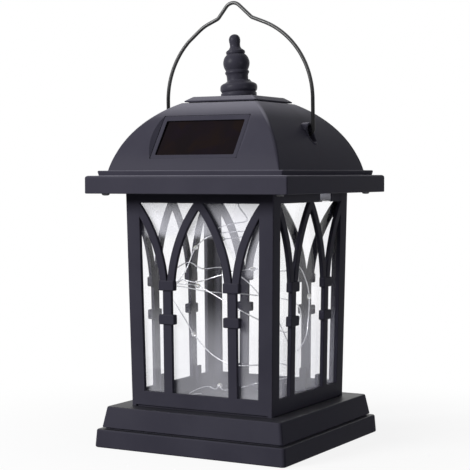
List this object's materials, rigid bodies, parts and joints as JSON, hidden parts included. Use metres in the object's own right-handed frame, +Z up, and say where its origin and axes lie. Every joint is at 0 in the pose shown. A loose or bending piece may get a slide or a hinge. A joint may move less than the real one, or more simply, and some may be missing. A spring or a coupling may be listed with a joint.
{
  "type": "solar garden lantern",
  "caption": "Square garden lantern with a domed roof, solar window, glazed arched cage, wire light string inside and a hanging bail.",
  "frame": {"origin": "middle of the base's rim, on the ground", "axes": "+Z up through the finial, -Y the side with the solar window, X along the bail's pivots"},
  "size_m": [0.14, 0.14, 0.28],
  "materials": {
    "black_plastic": "satin moulded, fine sprayed grain",
    "clear_plastic": "clear, polished",
    "screw_steel": "zinc plated",
    "bail_wire": "black lacquered wire",
    "solar_resin": "clear potting resin",
    "solar_silicon": "dark thin-film silicon",
    "board_green": "solder mask",
    "cell_wrap": "shrink wrap",
    "contact_metal": "nickel plated",
    "knob_plastic": "matte",
    "chip_black": "moulded",
    "inductor_green": "dipped",
    "lead_red": "insulated lead",
    "lead_black": "insulated lead",
    "lead_grey": "insulated lead",
    "grommet_rubber": "matte rubber",
    "string_wire": "bright drawn wire",
    "bead_resin": "clear resin drop"
  },
  "bodies": {
    "cage": {"base_shell": "black_plastic", "front_panel": "black_plastic", "right_panel": "black_plastic", "back_panel": "black_plastic", "left_panel": "black_plastic", "front_pane": "clear_plastic", "right_pane": "clear_plastic", "back_pane": "clear_plastic", "left_pane": "clear_plastic"},
    "roof": {"roof_shell": "black_plastic", "ceiling_plate": "black_plastic", "ceiling_screws": "screw_steel", "cap_plate": "black_plastic", "finial": "black_plastic", "finial_screw": "screw_steel", "solar_bezel": "black_plastic", "solar_resin": "solar_resin", "solar_silicon": "solar_silicon", "solar_backing": "board_green", "battery_holder": "black_plastic", "battery_cell": "cell_wrap", "contact_spring": "contact_metal", "contact_plates": "contact_metal", "battery_cover": "black_plastic", "battery_cover_screw": "screw_steel", "switch_housing": "screw_steel", "circuit_board": "board_green", "board_screws": "screw_steel", "controller_chip": "chip_black", "inductor": "inductor_green", "panel_leads": "lead_red", "battery_leads": "lead_black", "switch_leads": "lead_grey", "string_grommet": "grommet_rubber", "string_lead": "string_wire", "light_string": "string_wire", "led_beads": "bead_resin"},
    "bail": {"bail_handle": "bail_wire"},
    "switch_knob": {"switch_slider": "knob_plastic"}
  },
  "joints": [
    {"name": "roof_lift", "type": "slide", "parent": "cage", "child": "roof", "axis": [0, 0, 1], "range_m": [0, 0.15]},
    {"name": "bail_swing", "type": "hinge", "parent": "roof", "child": "bail", "pos_m": [0, 0, 0.1951], "axis": [1, 0, 0], "range_deg": [-80, 80]},
    {"name": "switch_slide", "type": "slide", "parent": "roof", "child": "switch_knob", "axis": [1, 0, 0], "range_m": [0, 0.002]}
  ]
}
